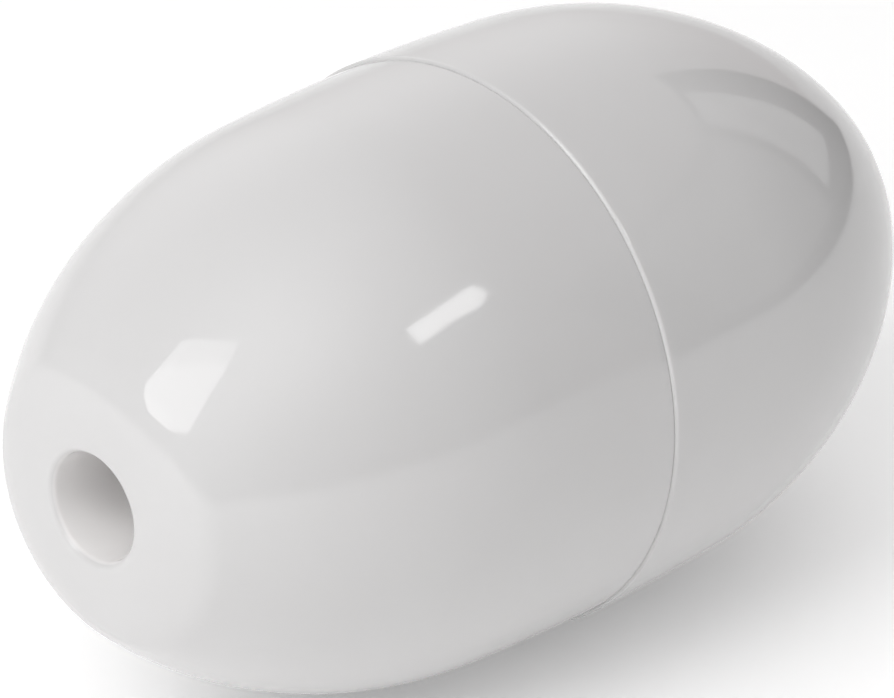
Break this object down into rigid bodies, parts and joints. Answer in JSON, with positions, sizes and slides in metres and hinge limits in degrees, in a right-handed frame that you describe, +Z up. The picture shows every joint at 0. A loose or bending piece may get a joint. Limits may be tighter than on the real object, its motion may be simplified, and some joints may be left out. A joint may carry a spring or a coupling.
{
  "type": "rope float",
  "caption": "Egg-shaped hard float threaded on a rope, in two screw-together halves with a collet inside that grips the rope.",
  "frame": {"origin": "on the bore's axis, in the plane of the seam, which is the middle of the float", "axes": "+X along the bore towards the rear half, +Z up, the float lying on its side"},
  "size_m": [0.127, 0.0762, 0.0762],
  "materials": {
    "shell_plastic": "high gloss white",
    "bulkhead_plastic": "satin white",
    "collet_plastic": "natural nylon"
  },
  "bodies": {
    "front_half": {"front_shell": "shell_plastic", "front_bulkhead": "bulkhead_plastic"},
    "collet": {"collet_ring": "collet_plastic"},
    "rear_half": {"rear_shell": "shell_plastic", "rear_bulkhead": "bulkhead_plastic"},
    "finger_1": {"collet_finger_1": "collet_plastic"},
    "finger_2": {"collet_finger_2": "collet_plastic"},
    "finger_3": {"collet_finger_3": "collet_plastic"},
    "finger_4": {"collet_finger_4": "collet_plastic"},
    "finger_5": {"collet_finger_5": "collet_plastic"},
    "finger_6": {"collet_finger_6": "collet_plastic"}
  },
  "joints": [
    {"name": "collet_slide", "type": "slide", "parent": "front_half", "child": "collet", "axis": [1, 0, 0], "range_m": [0, 0.012]},
    {"name": "twist", "type": "hinge", "parent": "collet", "child": "rear_half", "pos_m": [0, 0, 0], "axis": [1, 0, 0], "range_deg": [0, 360]},
    {"name": "finger_1_flex", "type": "hinge", "parent": "collet", "child": "finger_1", "pos_m": [0.0142, 0, -0.00825], "axis": [0, -1, 0], "range_deg": [0, 5.28]},
    {"name": "finger_2_flex", "type": "hinge", "parent": "collet", "child": "finger_2", "pos_m": [0.0142, 0.00715, -0.00413], "axis": [0, -0.5, -0.866], "range_deg": [0, 5.28]},
    {"name": "finger_3_flex", "type": "hinge", "parent": "collet", "child": "finger_3", "pos_m": [0.0142, 0.00715, 0.00413], "axis": [0, 0.5, -0.866], "range_deg": [0, 5.28]},
    {"name": "finger_4_flex", "type": "hinge", "parent": "collet", "child": "finger_4", "pos_m": [0.0142, 0, 0.00825], "axis": [0, 1, 0], "range_deg": [0, 5.28]},
    {"name": "finger_5_flex", "type": "hinge", "parent": "collet", "child": "finger_5", "pos_m": [0.0142, -0.00715, 0.00413], "axis": [0, 0.5, 0.866], "range_deg": [0, 5.28]},
    {"name": "finger_6_flex", "type": "hinge", "parent": "collet", "child": "finger_6", "pos_m": [0.0142, -0.00715, -0.00413], "axis": [0, -0.5, 0.866], "range_deg": [0, 5.28]}
  ],
  "couplings": [
    {"joint": "collet_slide", "follows": "twist", "m_per_rad": 0.0019099},
    {"joint": "finger_1_flex", "follows": "twist", "ratio": 0.014666},
    {"joint": "finger_2_flex", "follows": "twist", "ratio": 0.014666},
    {"joint": "finger_3_flex", "follows": "twist", "ratio": 0.014666},
    {"joint": "finger_4_flex", "follows": "twist", "ratio": 0.014666},
    {"joint": "finger_5_flex", "follows": "twist", "ratio": 0.014666},
    {"joint": "finger_6_flex", "follows": "twist", "ratio": 0.014666}
  ]
}
